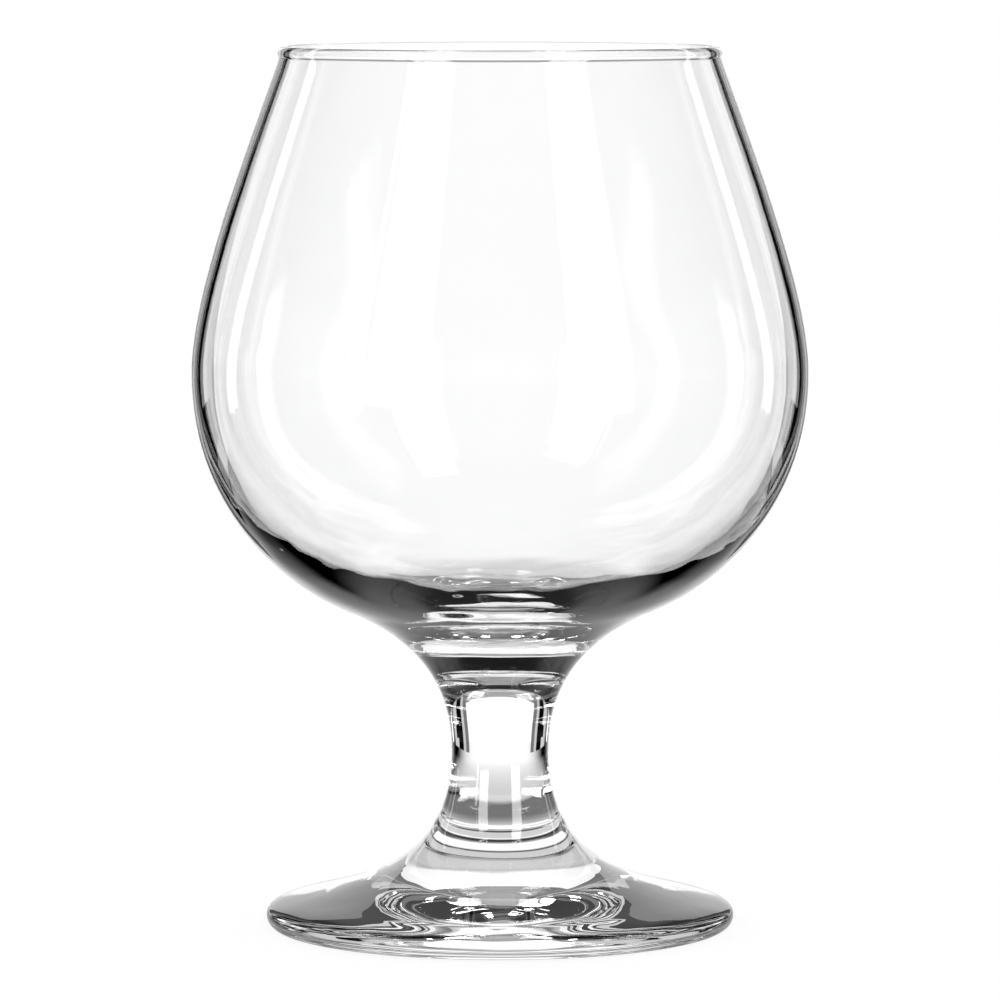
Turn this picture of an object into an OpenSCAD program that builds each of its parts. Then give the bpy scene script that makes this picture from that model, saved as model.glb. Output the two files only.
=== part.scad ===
// Brandy snifter in clear glass: a blown bowl with a rounded bead at the mouth, fused to a
// short drawn stem, which is fused to a domed foot with a shallow hollow underneath.
// Every piece is turned about the Z axis. The glass stands on Z = 0, with its origin at the
// centre of that plane. The two fused seams are level faces that the neighbours share.

/* [Bowl] */
// Outer diameter of the bead at the mouth
mouth_d = 73.3; // [64:0.1:88]
// Thickness of the bead at the mouth
bead_d = 2.3; // [1.8:0.1:3.4]
// Outer diameter at the belly, the widest part of the bowl
belly_d = 101.6; // [92:0.1:122]
// Height from the belly up to the top of the bead
upper_bowl_h = 53.6; // [42:0.1:70]
// Height from the knee, where the bowl turns in to the stem, up to the belly
lower_bowl_h = 39.1; // [34:0.1:47]
// Outer diameter at the knee
knee_d = 50.9; // [42:0.1:59]
// Slope of the outside at the knee, from level
knee_angle = 23; // [16:0.5:32]
// Lean of the side under the bead, from upright
side_lean = 19.5; // [10:0.5:26]
// Wall thickness under the bead
rim_wall = 1.6; // [1.2:0.05:2]
// Wall thickness at the belly
belly_wall = 1.8; // [1.4:0.05:2.4]
// Wall thickness at the knee
knee_wall = 4.2; // [3:0.1:6.5]

/* [Stem] */
// Diameter at the waist, the narrowest part of the stem
waist_d = 16; // [12:0.1:20]
// Height from the waist up to the knee
upper_stem_h = 23.7; // [20:0.1:36]
// Height from the top of the foot, where its slope begins, up to the waist
lower_stem_h = 21.2; // [17:0.1:34]

/* [Foot] */
// Outer diameter of the foot
foot_d = 77.3; // [66:0.1:90]
// Thickness of the rounded edge of the foot
edge_t = 3.8; // [3:0.1:5]
// Height of the foot where the flare of the stem ends
foot_h = 7.8; // [6.5:0.1:11]
// Diameter at which the flare of the stem ends
flare_d = 46.4; // [38:0.1:54]
// Slope of the top of the foot, from level
foot_slope = 18.5; // [12:0.5:24]
// Diameter of the hollow under the foot
hollow_d = 57; // [40:0.5:60]
// Depth of the hollow under the foot at its middle
hollow_depth = 1.4; // [0.6:0.1:2.4]

/* [Hidden] */
$fn = 180;

// Steps along one curve of an outline
curve_steps = 16;
// Steps along a rounded edge
edge_steps = 12;

// How full each curve is: its two handles as shares of the height or width that it spans
side_share = [0.31, 0.25];
belly_share = [0.50, 0.59];
neck_share = [0.64, 0.53];
flare_share = [0.55, 0.62];
foot_share = [0.77, 0.71];
floor_share = [0.45, 0.40];

// Where the fused seams cross the curve above and the curve below the waist
weld_share = 0.47;
root_share = 0.80;

// Bead: where the wall leaves it outside and inside, measured down from level
bead_out_angle = 38;
bead_in_angle = 52;

// Heights of the stations, from the table up
waist_z = foot_h + lower_stem_h;
knee_z = waist_z + upper_stem_h;
belly_z = knee_z + lower_bowl_h;
top_z = belly_z + upper_bowl_h;

// A unit vector at an angle above level, in the (radius, height) plane
function ray(angle) = [cos(angle), sin(angle)];

// Point of a curve with four control points, and its direction of travel
function curve_point(c, t) =
    pow(1 - t, 3) * c[0] + 3 * pow(1 - t, 2) * t * c[1]
    + 3 * (1 - t) * t * t * c[2] + pow(t, 3) * c[3];
function curve_way(c, t) =
    let (d = pow(1 - t, 2) * (c[1] - c[0]) + 2 * (1 - t) * t * (c[2] - c[1]) + t * t * (c[3] - c[2]))
    d / norm(d);

// Points along a stretch of a curve, or set in from its right-hand side by a growing wall
function curve_run(c, from, to) =
    [for (i = [0:curve_steps]) curve_point(c, from + (to - from) * i / curve_steps)];
function inset_point(c, t, wall) =
    let (way = curve_way(c, t)) curve_point(c, t) + wall * [way[1], -way[0]];
function inset_run(c, wall_0, wall_1) =
    [for (i = [0:curve_steps]) let (t = i / curve_steps)
        inset_point(c, t, wall_0 + (wall_1 - wall_0) * t * t)];

// Points along a round edge, from one angle to another
function arc_run(centre, r, from, to) =
    [for (i = [0:edge_steps]) centre + r * ray(from + (to - from) * i / edge_steps)];

function reversed(points) = [for (i = [len(points) - 1:-1:0]) points[i]];

// Bead at the mouth, and the place on it where the outside of the wall begins
bead_r = bead_d / 2;
bead_centre = [mouth_d / 2 - bead_r, top_z - bead_r];
side_top = bead_centre + bead_r * ray(-bead_out_angle);
side_h = side_top[1] - belly_z;

// Outside of the bowl, from the bead down to the belly and from the belly down to the knee
belly_point = [belly_d / 2, belly_z];
knee_point = [knee_d / 2, knee_z];
side_curve = [
    side_top,
    side_top + side_share[0] * side_h * ray(side_lean - 90),
    belly_point + [0, side_share[1] * side_h],
    belly_point
];
belly_curve = [
    belly_point,
    belly_point - [0, belly_share[0] * lower_bowl_h],
    knee_point + belly_share[1] * (belly_d - knee_d) / 2 * ray(knee_angle),
    knee_point
];

// Outside of the stem, from the knee down to the waist and from the waist down to the foot
waist_point = [waist_d / 2, waist_z];
flare_point = [flare_d / 2, foot_h];
neck_curve = [
    knee_point,
    knee_point - neck_share[0] * (knee_d - waist_d) / 2 * ray(knee_angle),
    waist_point + [0, neck_share[1] * upper_stem_h],
    waist_point
];
flare_curve = [
    waist_point,
    waist_point - [0, flare_share[0] * lower_stem_h],
    flare_point + flare_share[1] * (flare_d - waist_d) / 2 * ray(180 - foot_slope),
    flare_point
];

// Top of the foot, from the end of the flare out to the widest point of the edge
edge_r = edge_t / 2;
edge_point = [foot_d / 2, edge_r];
foot_curve = [
    flare_point,
    flare_point + foot_share[0] * (foot_d - flare_d) / 2 * ray(-foot_slope),
    edge_point + [0, foot_share[1] * edge_t],
    edge_point
];

// Inside of the bowl: its floor runs on from the inside of the knee to the axis
knee_inside = inset_point(belly_curve, 1, knee_wall);
floor_z = knee_inside[1] - floor_share[0] * knee_inside[0] * tan(knee_angle);
floor_curve = [
    knee_inside,
    knee_inside - floor_share[1] * knee_inside[0] * ray(knee_angle),
    [floor_share[1] * knee_inside[0], floor_z],
    [0, floor_z]
];

// The seam between bowl and stem, and the seam between stem and foot
weld_point = curve_point(neck_curve, weld_share);
root_point = curve_point(flare_curve, root_share);

// Radius of the ball whose cap makes the hollow under the foot
hollow_r = hollow_d / 2;
hollow_ball_r = (hollow_r * hollow_r + hollow_depth * hollow_depth) / (2 * hollow_depth);
hollow_angle = asin(hollow_r / hollow_ball_r);

// Blown bowl, open at the mouth, with a thick bottom that ends at the fused seam
module bowl() {
    color("aliceblue", 0.5)
    rotate_extrude()
    polygon(concat(
        arc_run(bead_centre, bead_r, 180 + bead_in_angle, -bead_out_angle),
        curve_run(side_curve, 0, 1),
        curve_run(belly_curve, 0, 1),
        curve_run(neck_curve, 0, weld_share),
        [[0, weld_point[1]]],
        reversed(curve_run(floor_curve, 0, 1)),
        reversed(inset_run(belly_curve, belly_wall, knee_wall)),
        reversed(inset_run(side_curve, rim_wall, belly_wall))
    ));
}

// Solid stem, waisted between the two fused seams
module stem() {
    color("lightsteelblue", 0.7)
    rotate_extrude()
    polygon(concat(
        [[0, weld_point[1]]],
        curve_run(neck_curve, weld_share, 1),
        curve_run(flare_curve, 0, root_share),
        [[0, root_point[1]]]
    ));
}

// Domed foot with a rounded edge, standing on a ring round its shallow hollow
module foot() {
    color("lightblue", 0.7)
    rotate_extrude()
    polygon(concat(
        [[0, root_point[1]]],
        curve_run(flare_curve, root_share, 1),
        curve_run(foot_curve, 0, 1),
        arc_run(edge_point - [edge_r, 0], edge_r, 0, -90),
        arc_run([0, hollow_depth - hollow_ball_r], hollow_ball_r, 90 - hollow_angle, 90)
    ));
}

bowl();
stem();
foot();
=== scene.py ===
# A brandy snifter in clear glass, photographed on a white table in front of a lit white wall.
import math

import bpy
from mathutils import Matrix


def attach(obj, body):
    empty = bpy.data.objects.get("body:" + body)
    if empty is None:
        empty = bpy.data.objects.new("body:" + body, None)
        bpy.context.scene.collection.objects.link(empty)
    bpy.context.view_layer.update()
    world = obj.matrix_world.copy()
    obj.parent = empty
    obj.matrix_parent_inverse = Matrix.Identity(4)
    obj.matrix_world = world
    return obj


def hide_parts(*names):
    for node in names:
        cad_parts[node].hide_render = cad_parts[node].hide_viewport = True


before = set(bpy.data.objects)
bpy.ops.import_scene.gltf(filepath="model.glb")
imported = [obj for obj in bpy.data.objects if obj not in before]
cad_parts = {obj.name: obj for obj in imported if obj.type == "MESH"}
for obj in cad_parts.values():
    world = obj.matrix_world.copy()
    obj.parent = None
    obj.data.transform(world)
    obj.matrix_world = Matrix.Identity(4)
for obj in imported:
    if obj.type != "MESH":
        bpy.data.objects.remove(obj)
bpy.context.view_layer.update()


# Bowl. Soda glass blown in a mould: a thin wall that grows thicker towards a heavy bottom.
# The mouth is melted to a rounded bead, and the bottom is fused hot to the stem.
# Outlines are in mm as (radius, height), and slopes in degrees above level.
MM = 0.001


def ray(angle):
    """One unit along a slope."""
    return (math.cos(math.radians(angle)), math.sin(math.radians(angle)))


def step(point, length, slope):
    """The place a length away from a point of the outline, along a slope."""
    return (point[0] + length * slope[0], point[1] + length * slope[1])


def on_curve(curve, t):
    """The place a share t along a curve with four control points."""
    weights = ((1 - t) ** 3, 3 * (1 - t) ** 2 * t, 3 * (1 - t) * t * t, t ** 3)
    return tuple(sum(w * p[k] for w, p in zip(weights, curve)) for k in (0, 1))


def curve_slope(curve, t):
    """The unit direction in which a curve runs at a share t."""
    weights = ((1 - t) ** 2, 2 * (1 - t) * t, t * t)
    way = [sum(w * (b[k] - a[k]) for w, a, b in zip(weights, curve, curve[1:])) for k in (0, 1)]
    return (way[0] / math.hypot(*way), way[1] / math.hypot(*way))


def run(curve, start=0.0, end=1.0, steps=28):
    """Places along a stretch of a curve."""
    return [on_curve(curve, start + (end - start) * i / steps) for i in range(steps + 1)]


def wall_run(curve, wall_0, wall_1, steps=28):
    """The inside of a wall whose outside is the curve and whose thickness grows along it."""
    places = []
    for i in range(steps + 1):
        t = i / steps
        slope = curve_slope(curve, t)
        wall = wall_0 + (wall_1 - wall_0) * t * t
        places.append(step(on_curve(curve, t), wall, (slope[1], -slope[0])))
    return places


def arc(centre, radius, start, end, steps):
    """Places along a round edge, from one angle to another."""
    return [step(centre, radius, ray(start + (end - start) * i / steps)) for i in range(steps + 1)]


def turn(name, outline, turns=256):
    """Turns an outline about the upright axis, as a mould shapes hot glass. Where two runs of the
    outline meet, the place that they share is kept once."""
    shortest, same_place, sharp = 0.004, 0.0000015, 25
    places = [outline[0]]
    for place in outline[1:]:
        if math.dist(place, places[-1]) > shortest:
            places.append(place)
    bpy.ops.object.select_all(action="DESELECT")
    bpy.ops.mesh.primitive_plane_add(size=0.001)
    piece = bpy.context.object
    piece.name = piece.data.name = name
    bpy.ops.object.mode_set(mode="EDIT")
    bpy.ops.mesh.select_all(action="SELECT")
    bpy.ops.mesh.merge(type="CENTER")
    before = (0.0, 0.0)
    for number, place in enumerate(places):
        move = {"value": ((place[0] - before[0]) * MM, 0, (place[1] - before[1]) * MM)}
        if number == 0:
            bpy.ops.transform.translate(**move)
        else:
            bpy.ops.mesh.extrude_vertices_move(TRANSFORM_OT_translate=move)
        before = place
    bpy.ops.mesh.select_all(action="SELECT")
    bpy.ops.mesh.spin(steps=turns, angle=2 * math.pi, center=(0, 0, 0), axis=(0, 0, 1))
    bpy.ops.mesh.select_all(action="SELECT")
    bpy.ops.mesh.remove_doubles(threshold=same_place)
    bpy.ops.mesh.normals_make_consistent(inside=False)
    bpy.ops.object.mode_set(mode="OBJECT")
    bpy.ops.object.shade_smooth_by_angle(angle=math.radians(sharp))
    return piece


def fuse(piece, seam, *heights):
    """Gives the level faces at a fused joint the seam's material, so that the glass runs on."""
    piece.data.materials.append(seam)
    for face in piece.data.polygons:
        level = abs(face.normal.z) > 0.999
        if level and any(abs(face.center.z - height * MM) < 0.00001 for height in heights):
            face.material_index = 1


def fill(tree, socket, value):
    """Puts a plain value in a socket, or links another node's output to it."""
    if isinstance(value, bpy.types.NodeSocket):
        tree.links.new(value, socket)
    else:
        socket.default_value = value


def node(tree, kind, **values):
    """A node. Each value is one of its settings, or goes into its socket of that name."""
    made = tree.nodes.new(kind)
    for name, value in values.items():
        if hasattr(made, name):
            setattr(made, name, value)
        else:
            fill(tree, made.inputs[name.replace("_", " ")], value)
    return made


def maths(tree, operation, *values):
    """The outcome of a sum on numbers."""
    made = node(tree, "ShaderNodeMath", operation=operation)
    for socket, value in zip(made.inputs, values):
        fill(tree, socket, value)
    return made.outputs["Value"]


def vectors(tree, operation, *values):
    """The outcome of a sum on places. A length comes out as a number."""
    made = node(tree, "ShaderNodeVectorMath", operation=operation)
    for socket, value in zip(made.inputs, values):
        fill(tree, socket, value)
    return made.outputs["Value" if operation == "LENGTH" else "Vector"]


def soft_step(tree, value, start, end, low=0.0, high=1.0):
    """A number that goes softly from low to high while a value goes from start to end."""
    made = node(tree, "ShaderNodeMapRange", interpolation_type="SMOOTHSTEP", Value=value,
                From_Min=start, From_Max=end, To_Min=low, To_Max=high)
    return made.outputs["Result"]


def between(tree, share, low, high):
    """A number that is low where a share is 0 and high where it is 1."""
    made = node(tree, "ShaderNodeMix", data_type="FLOAT", Factor=share, A=low, B=high)
    return made.outputs["Result"]


def either(tree, share, first, second):
    """The first shader where a share is 0, and the second where it is 1."""
    made = node(tree, "ShaderNodeMixShader", Fac=share)
    tree.links.new(first.outputs[0], made.inputs[1])
    tree.links.new(second.outputs[0], made.inputs[2])
    return made


def off_axis(tree, place):
    """How far a place is from the axis of the glass."""
    apart = node(tree, "ShaderNodeSeparateXYZ", Vector=place).outputs
    level = node(tree, "ShaderNodeCombineXYZ", X=apart["X"], Y=apart["Y"])
    return vectors(tree, "LENGTH", level.outputs["Vector"])


def glass_finish():
    """Ripples of the hot work, fine turned marks and a trace of haze, shared by every piece."""
    group = bpy.data.node_groups.new("glass_finish", "ShaderNodeTree")
    sockets = (
        ("Tint", "INPUT", "NodeSocketColor"), ("Haze", "INPUT", "NodeSocketFloat"),
        ("Ripple", "INPUT", "NodeSocketFloat"), ("Ripple Scale", "INPUT", "NodeSocketFloat"),
        ("Marks", "INPUT", "NodeSocketFloat"), ("Heavy Below", "INPUT", "NodeSocketFloat"),
        ("Wall Share", "INPUT", "NodeSocketFloat"), ("Color", "OUTPUT", "NodeSocketColor"),
        ("Roughness", "OUTPUT", "NodeSocketFloat"), ("Normal", "OUTPUT", "NodeSocketVector"))
    for name, way, kind in sockets:
        group.interface.new_socket(name, in_out=way, socket_type=kind)
    given = node(group, "NodeGroupInput").outputs
    place = node(group, "ShaderNodeTexCoord").outputs["Object"]
    apart = node(group, "ShaderNodeSeparateXYZ", Vector=place).outputs

    # Share of the ripples: all of them in the heavy glass, few in the thin wall above it
    change_h = 0.022
    above = maths(group, "SUBTRACT", apart["Z"], given["Heavy Below"])
    heavy = soft_step(group, above, change_h, 0.0)
    share = between(group, heavy, given["Wall Share"], 1.0)
    depth = maths(group, "MULTIPLY", share, given["Ripple"])

    # Ripples: wider than they are tall, because the glass was worked while it turned
    flatness = 2.4
    squashed = vectors(group, "MULTIPLY", place, (1.0, 1.0, flatness))
    ripple = node(group, "ShaderNodeTexNoise", Vector=squashed, Scale=given["Ripple Scale"],
                  Detail=0.6, Roughness=0.4).outputs["Fac"]
    waves = node(group, "ShaderNodeBump", Strength=1.0, Distance=depth, Height=ripple)

    # Turned marks: fine lines that run round the piece, close together up and down its slopes
    level_share, stretch = 0.6, (12.0, 12.0, 420.0)
    along = maths(group, "MULTIPLY_ADD", off_axis(group, place), level_share, apart["Z"])
    lines = node(group, "ShaderNodeCombineXYZ", X=apart["X"], Y=apart["Y"], Z=along)
    stretched = vectors(group, "MULTIPLY", lines.outputs["Vector"], stretch)
    mark = node(group, "ShaderNodeTexNoise", Vector=stretched, Scale=1.0, Detail=2.0, Roughness=0.5)
    rings = node(group, "ShaderNodeBump", Strength=1.0, Distance=given["Marks"],
                 Height=mark.outputs["Fac"], Normal=waves.outputs["Normal"])

    # Haze: soft patches, as a cloth leaves them
    wiped = node(group, "ShaderNodeTexNoise", Vector=place, Scale=38.0, Detail=3.0, Roughness=0.6)
    patches = soft_step(group, wiped.outputs["Fac"], 0.46, 0.78)
    haze = maths(group, "MULTIPLY", patches, given["Haze"])

    # Tint: the melt isn't quite even, so the colour comes and goes a little
    melt = node(group, "ShaderNodeMix", data_type="RGBA", Factor=ripple)
    tinted, plain = (socket for socket in melt.inputs if socket.type == "RGBA")
    fill(group, tinted, given["Tint"])
    fill(group, plain, (1, 1, 1, 1))
    tint = next(socket for socket in melt.outputs if socket.type == "RGBA")
    node(group, "NodeGroupOutput", Color=tint, Roughness=haze, Normal=rings.outputs["Normal"])
    return group


finish = glass_finish()


def bare_material(name):
    """A new material with nothing in it yet."""
    material = bpy.data.materials.new(name)
    material.use_nodes = True
    material.node_tree.nodes.clear()
    return material


def clear_glass(name, tint, haze, ripple, ripple_scale, marks, heavy_below, wall_share=1.0):
    """Clear soda glass with its finish. Light on its way to the table passes, a little weaker."""
    material = bare_material(name)
    tree = material.node_tree
    worked = node(
        tree, "ShaderNodeGroup", node_tree=finish, Tint=tint, Haze=haze, Ripple=ripple,
        Ripple_Scale=ripple_scale, Marks=marks, Heavy_Below=heavy_below,
        Wall_Share=wall_share).outputs
    glass = node(
        tree, "ShaderNodeBsdfPrincipled", IOR=1.52, Metallic=0.0, Transmission_Weight=1.0,
        Base_Color=worked["Color"], Roughness=worked["Roughness"], Normal=worked["Normal"])
    passing = node(tree, "ShaderNodeBsdfTransparent", Color=(0.865, 0.865, 0.865, 1))
    path = node(tree, "ShaderNodeLightPath").outputs
    to_table = maths(tree, "MAXIMUM", path["Is Shadow Ray"], path["Is Diffuse Ray"])
    shown = either(tree, to_table, glass, passing)
    node(tree, "ShaderNodeOutputMaterial", Surface=shown.outputs["Shader"])
    return material


def seam_glass(name):
    """A fused joint, where one piece of glass runs on into the next and nothing shows."""
    material = bpy.data.materials.new(name)
    material.use_nodes = True
    glass = material.node_tree.nodes["Principled BSDF"].inputs
    # Near black: it shows only where a joint's painted dark lines are drawn
    glass["Base Color"].default_value = (0.02, 0.02, 0.02, 1)
    glass["Roughness"].default_value = 0.9
    glass["Specular IOR Level"].default_value = 0.0
    glass["Alpha"].default_value = 0.0
    return material


def paint_dark_seam_lines(seam, radius, depth):
    """Paints a thin dark ring round a fused joint, and dark folds, as dark as depth, where the hot
    lumps met: painted dark lines in place of those that the joint shows by bending light.
    """
    tree = seam.node_tree
    place = node(tree, "ShaderNodeTexCoord").outputs["Object"]
    share = maths(tree, "DIVIDE", off_axis(tree, place), radius * MM)
    # Painted dark line: a thin ring at the joint's outer edge, in the seam's near-black colour
    painted_dark_ring = soft_step(tree, share, 0.9977, 1.0, 0.0, 0.8)
    # Painted dark folds: patches of the same near-black where the hot lumps met
    folded = node(tree, "ShaderNodeTexNoise", Vector=place, Scale=160.0, Detail=2.0, Roughness=0.5,
                  Distortion=1.2)
    painted_dark_folds = soft_step(tree, folded.outputs["Fac"], 0.40, 0.66, 0.03, depth)
    fill(tree, tree.nodes["Principled BSDF"].inputs["Alpha"], maths(tree, "MAXIMUM", painted_dark_folds, painted_dark_ring))


# Sizes, from the table up, and how full each curve is: its handles as shares of what it spans
foot_h, lower_stem_h, upper_stem_h, lower_bowl_h, upper_bowl_h = 7.8, 21.2, 23.7, 39.1, 53.6
waist_r, knee_r, belly_r, mouth_r, bead_r = 8.0, 25.45, 50.8, 73.3 / 2, 1.15
knee_angle, side_lean, bead_out_angle, bead_in_angle = 23, 19.5, 38, 52
knee_wall, belly_wall, rim_wall = 4.2, 1.8, 1.6
floor_share, neck_share = (0.45, 0.40), (0.64, 0.53)
belly_share, side_share = (0.50, 0.59), (0.31, 0.25)
weld_share = 0.47
waist = (waist_r, foot_h + lower_stem_h)
knee = (knee_r, waist[1] + upper_stem_h)
belly = (belly_r, knee[1] + lower_bowl_h)
bead = (mouth_r - bead_r, belly[1] + upper_bowl_h - bead_r)

side_top = step(bead, bead_r, ray(-bead_out_angle))
side_h = side_top[1] - belly[1]
side_curve = (
    side_top, step(side_top, side_share[0] * side_h, ray(side_lean - 90)),
    (belly_r, belly[1] + side_share[1] * side_h), belly)
belly_curve = (
    belly, (belly_r, belly[1] - belly_share[0] * lower_bowl_h),
    step(knee, belly_share[1] * (belly_r - knee_r), ray(knee_angle)), knee)
neck_curve = (
    knee, step(knee, -neck_share[0] * (knee_r - waist_r), ray(knee_angle)),
    (waist_r, waist[1] + neck_share[1] * upper_stem_h), waist)
weld = on_curve(neck_curve, weld_share)
belly_inside = wall_run(belly_curve, belly_wall, knee_wall)
knee_inside = belly_inside[-1]
floor_z = knee_inside[1] - floor_share[0] * knee_inside[0] * math.tan(math.radians(knee_angle))
floor_curve = (
    knee_inside, step(knee_inside, -floor_share[1] * knee_inside[0], ray(knee_angle)),
    (floor_share[1] * knee_inside[0], floor_z), (0, floor_z))
bowl = turn("bowl_glass", (
    run(floor_curve)[::-1] + belly_inside[::-1] + wall_run(side_curve, rim_wall, belly_wall)[::-1]
    + arc(bead, bead_r, 180 + bead_in_angle, -bead_out_angle, 24) + run(side_curve)
    + run(belly_curve) + run(neck_curve, 0, weld_share) + [(0, weld[1])]))
bowl.data.materials.append(clear_glass(
    "bowl_clear_glass", tint=(0.990, 0.992, 0.992, 1), haze=0.012, ripple=0.00020, ripple_scale=95,
    marks=0.0000025, heavy_below=0.056, wall_share=0.05))
seam_with_painted_dark_lines = seam_glass("fused_seam_under_bowl")
# The joint under the bowl gets a painted dark ring and painted dark folds
paint_dark_seam_lines(seam_with_painted_dark_lines, weld[0], 0.45)
fuse(bowl, seam_with_painted_dark_lines, weld[1])
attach(bowl, "root")
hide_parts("bowl")


# Stem. Solid glass drawn out of the bowl's bottom to a waist, then pressed out to the foot.
# Both ends are fused, so nothing shows where it begins and ends but a faint dark line painted at the
# top joint.
flare_r, foot_slope = 23.2, 18.5
flare_share, root_share = (0.55, 0.62), 0.80
flare_point = (flare_r, foot_h)
flare_curve = (
    waist, (waist_r, waist[1] - flare_share[0] * lower_stem_h),
    step(flare_point, flare_share[1] * (flare_r - waist_r), ray(180 - foot_slope)), flare_point)
root = on_curve(flare_curve, root_share)
stem = turn("stem_glass", (
    [(0, weld[1])] + run(neck_curve, weld_share, 1) + run(flare_curve, 0, root_share)
    + [(0, root[1])]))
stem.data.materials.append(clear_glass(
    "stem_clear_glass", tint=(0.990, 0.992, 0.992, 1), haze=0.008, ripple=0.00012, ripple_scale=75,
    marks=0.000006, heavy_below=1.0))
seam = seam_glass("fused_seam_over_foot")
fuse(stem, seam, weld[1], root[1])
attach(stem, "root")
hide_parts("stem")


# Foot. A solid disc of glass, domed towards the stem, with a rounded edge.
# It stands on a flat ring round a shallow hollow that the press leaves underneath.
foot_r, edge_r = 77.3 / 2, 1.9
foot_share = (0.77, 0.71)
foot_curve = (
    flare_point, step(flare_point, foot_share[0] * (foot_r - flare_r), ray(-foot_slope)),
    (foot_r, edge_r + foot_share[1] * 2 * edge_r), (foot_r, edge_r))
hollow_r, hollow_depth = 28.5, 1.4
ball_r = (hollow_r ** 2 + hollow_depth ** 2) / (2 * hollow_depth)
hollow_angle = math.degrees(math.asin(hollow_r / ball_r))
foot = turn("foot_glass", (
    [(0, root[1])] + run(flare_curve, root_share, 1) + run(foot_curve)
    + arc((foot_r - edge_r, edge_r), edge_r, 0, -90, 16)
    + arc((0, hollow_depth - ball_r), ball_r, 90 - hollow_angle, 90, 24)))
foot.data.materials.append(clear_glass(
    "foot_clear_glass", tint=(0.990, 0.992, 0.992, 1), haze=0.010, ripple=0.00016, ripple_scale=110,
    marks=0.000008, heavy_below=1.0))
fuse(foot, seam, root[1])
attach(foot, "root")
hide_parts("foot")


# Table. Matt white board, so pale that only the soft shadow of the glass shows on it.
# It runs on behind the glass to the horizon. Its face is a hair below the foot.
table_size, table_z = 60, -0.0002
bpy.ops.object.select_all(action="DESELECT")
bpy.ops.mesh.primitive_plane_add(size=table_size, location=(0, 0, table_z))
table = bpy.context.object
table.name = table.data.name = "table"
board = bare_material("white_board")
glow = node(board.node_tree, "ShaderNodeEmission", Strength=0.78)
matt = node(board.node_tree, "ShaderNodeBsdfDiffuse", Color=(0.3, 0.3, 0.3, 1))
both = node(board.node_tree, "ShaderNodeAddShader")
board.node_tree.links.new(glow.outputs[0], both.inputs[0])
board.node_tree.links.new(matt.outputs[0], both.inputs[1])
node(board.node_tree, "ShaderNodeOutputMaterial", Surface=both.outputs["Shader"])
table.data.materials.append(board)


# Studio. A lit white wall close behind the glass, flags beside it that draw the black edges, and
# soft boxes in front on either side. The set-up stands on a rig that turns with the camera, as if
# the glass were turned on the spot instead, so every side of it is seen in the same light.
camera_away, camera_z, camera_dip = 1.0738, 0.1671, 5.13
bpy.ops.object.camera_add(
    location=(0, -camera_away, camera_z), rotation=(math.radians(90 - camera_dip), 0, 0))
camera = bpy.context.object
camera.name = "camera"
camera.data.lens = 235.4
camera.data.sensor_width = 36
camera.data.clip_end = 30
bpy.context.scene.camera = camera

bpy.ops.object.empty_add(location=(0, 0, 0))
rig = bpy.context.object
rig.name = "studio_rig"
follow = rig.constraints.new("COPY_ROTATION")
follow.target = camera
follow.use_x = follow.use_y = False

# How a card is tilted: flat over the table, upright, or leaning over the glass
LYING, STANDING, LEANING = ((math.radians(tilt), 0, 0) for tilt in (0, 90, 135))


def card(name, width, height, place, turned, strength, soft=0.0):
    """A lit card, with edges that may be soft. It shows in the glass, but the camera and the
    table don't see it."""
    bpy.ops.object.select_all(action="DESELECT")
    bpy.ops.mesh.primitive_plane_add(size=1, location=(0, 0, 0))
    made = bpy.context.object
    made.name = made.data.name = name
    made.scale = (width, height, 1)
    bpy.ops.object.transform_apply(location=False, rotation=False, scale=True)
    made.location = place
    made.rotation_euler = turned
    cloth = bare_material(name)
    tree = cloth.node_tree
    shown = node(tree, "ShaderNodeEmission", name="glow", Strength=strength)
    if soft:
        middle = node(tree, "ShaderNodeTexCoord").outputs["Object"]
        apart = node(tree, "ShaderNodeSeparateXYZ", Vector=middle).outputs
        across = maths(tree, "ABSOLUTE", apart["X"])
        along = maths(tree, "ABSOLUTE", apart["Y"])
        inside = maths(tree, "MULTIPLY", soft_step(tree, across, width / 2, width / 2 - soft),
                       soft_step(tree, along, height / 2, height / 2 - soft))
        shown = either(tree, inside, node(tree, "ShaderNodeBsdfTransparent"), shown)
    node(tree, "ShaderNodeOutputMaterial", Surface=shown.outputs[0])
    made.data.materials.append(cloth)
    made.visible_camera = False
    made.visible_shadow = False
    made.visible_diffuse = False
    made.parent = rig
    return made


def upright(name, width, low, high, azimuth, away, strength, **more):
    """A card that stands facing the glass. Azimuth 0 is behind the glass, seen from the camera."""
    turned = math.radians(azimuth)
    place = (away * math.sin(turned), away * math.cos(turned), (low + high) / 2)
    card(name, width, high - low, place, (STANDING[0], 0, -turned), strength, **more)


# What the glass sees of the table is painted on a glowing card: a painted shadow under the foot,
# where only light that came through the glass would fall, painted dimness in front and beside, and
# as white as the wall a hand's breadth behind it
wall_light, table_light, front_light, core_share = 1.15, 0.69, 0.45, 0.27
core_r, rim_r = 0.020, 0.034
seen = card("table_seen", table_size, table_size, (0, 0, table_z / 2), LYING, 1.0)
tree = seen.data.materials[0].node_tree
place = node(tree, "ShaderNodeTexCoord").outputs["Object"]
away = vectors(tree, "LENGTH", place)
way = vectors(tree, "NORMALIZE", place)
backward = node(tree, "ShaderNodeSeparateXYZ", Vector=way).outputs["Y"]
from_core = vectors(tree, "LENGTH", vectors(tree, "ADD", place, (0, 0.006, 0)))
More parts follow.
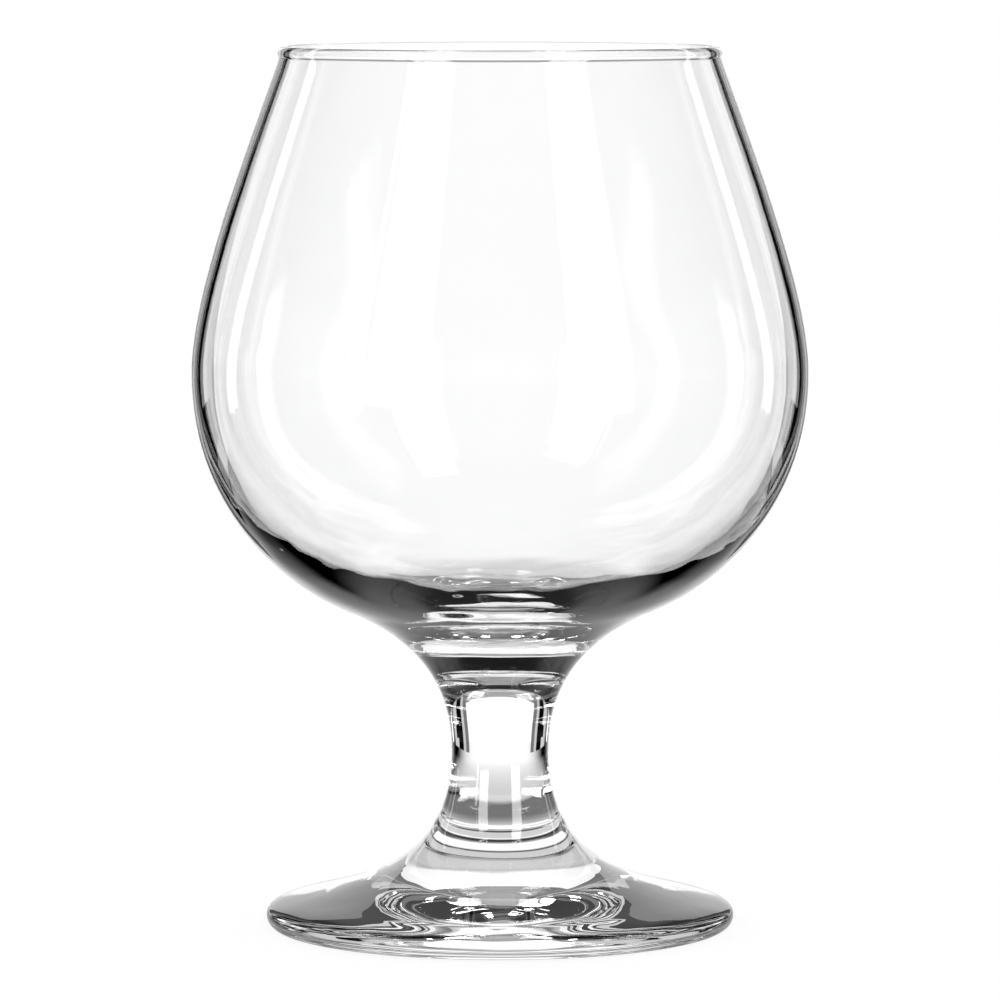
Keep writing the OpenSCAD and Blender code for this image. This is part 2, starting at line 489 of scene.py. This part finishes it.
# Painted shadow: the card glows less within 20 to 34 mm of a point 6 mm in front of the axis
painted_foot_shadow = soft_step(tree, from_core, core_r, rim_r, core_share, 1.0)
round_foot = between(tree, soft_step(tree, away, core_r, rim_r), table_light,
                     soft_step(tree, backward, -0.6, 0.0, front_light, table_light))
beside = between(tree, soft_step(tree, away, 0.045, 0.07), 1.0, soft_step(tree, backward, 0.5, 0.72))
near_light = maths(tree, "MULTIPLY", round_foot, beside)
far_light = soft_step(tree, backward, 0.64, 0.96, 0.0, wall_light)
light = between(tree, soft_step(tree, away, 0.04, 0.18), near_light, far_light)
fill(tree, tree.nodes["glow"].inputs["Strength"], maths(tree, "MULTIPLY", light, painted_foot_shadow))

# Behind and above: the wall, a dimmer screen that leans over it, and a dark ceiling
upright("back_wall", width=0.50, low=0, high=0.26, azimuth=0, away=0.45, strength=wall_light)
card("wall_above", width=0.30, height=0.94, place=(0, 0.354, 0.354), turned=LEANING, strength=0.42,
     soft=0.04)
card("ceiling", width=1.2, height=1.2, place=(0, 0, 0.7), turned=LYING, strength=0.015, soft=0.1)

# On both sides: four flags in one upright plane between glass and wall, given by their inner and
# outer edges in mm, a low flag for the foot, a high one for the mouth, and a bright strip
flag_y, flag_z, flag_h = 0.15, 0.259, 0.502
flags = (("grey", 78, 93, 0.2), ("pale", 93, 107, 0.65), ("black", 107, 147, 0.002),
         ("white", 147, 215, 0.75))
for side, name in ((-1, "left"), (1, "right")):
    for shade, inner, outer, strength in flags:
        card(shade + "_flag_" + name, (outer - inner) * MM, flag_h,
             ((inner + outer) / 2 * MM * side, flag_y, flag_z), STANDING, strength)
    card("low_flag_" + name, width=0.03, height=0.034, place=(0.159 * side, 0.149, 0.046),
         turned=STANDING, strength=0.005)
    upright("high_black_" + name, width=0.45, low=0.20, high=0.60, azimuth=108 * side, away=0.42,
            strength=0.01, soft=0.05)
    upright("side_strip_" + name, width=0.045, low=0.0, high=0.5, azimuth=65 * side, away=0.5,
            strength=2.5, soft=0.01)

# In front: the soft boxes that make the streaks, with a narrower one beside the left one
upright("soft_box_left", width=0.19, low=0.02, high=0.56, azimuth=-143.6, away=0.45, strength=9,
        soft=0.03)
upright("soft_box_left_edge", width=0.06, low=0, high=0.50, azimuth=-127, away=0.45, strength=6,
        soft=0.02)
upright("soft_box_right", width=0.19, low=0, high=0.80, azimuth=143.6, away=0.45, strength=9,
        soft=0.03)

# The room: white for the camera and on the table, and dim in the glass
room_light = 0.22
room = bpy.data.worlds.new("room")
bpy.context.scene.world = room
room.use_nodes = True
tree = room.node_tree
tree.nodes.clear()
path = node(tree, "ShaderNodeLightPath").outputs
straight = maths(tree, "MAXIMUM", path["Is Camera Ray"], path["Is Diffuse Ray"])
lift = node(tree, "ShaderNodeMapRange", Value=straight, To_Min=room_light, To_Max=1.0)
sky = node(tree, "ShaderNodeBackground", Strength=lift.outputs["Result"])
node(tree, "ShaderNodeOutputWorld", Surface=sky.outputs["Background"])

bpy.context.scene.view_settings.view_transform = "Standard"
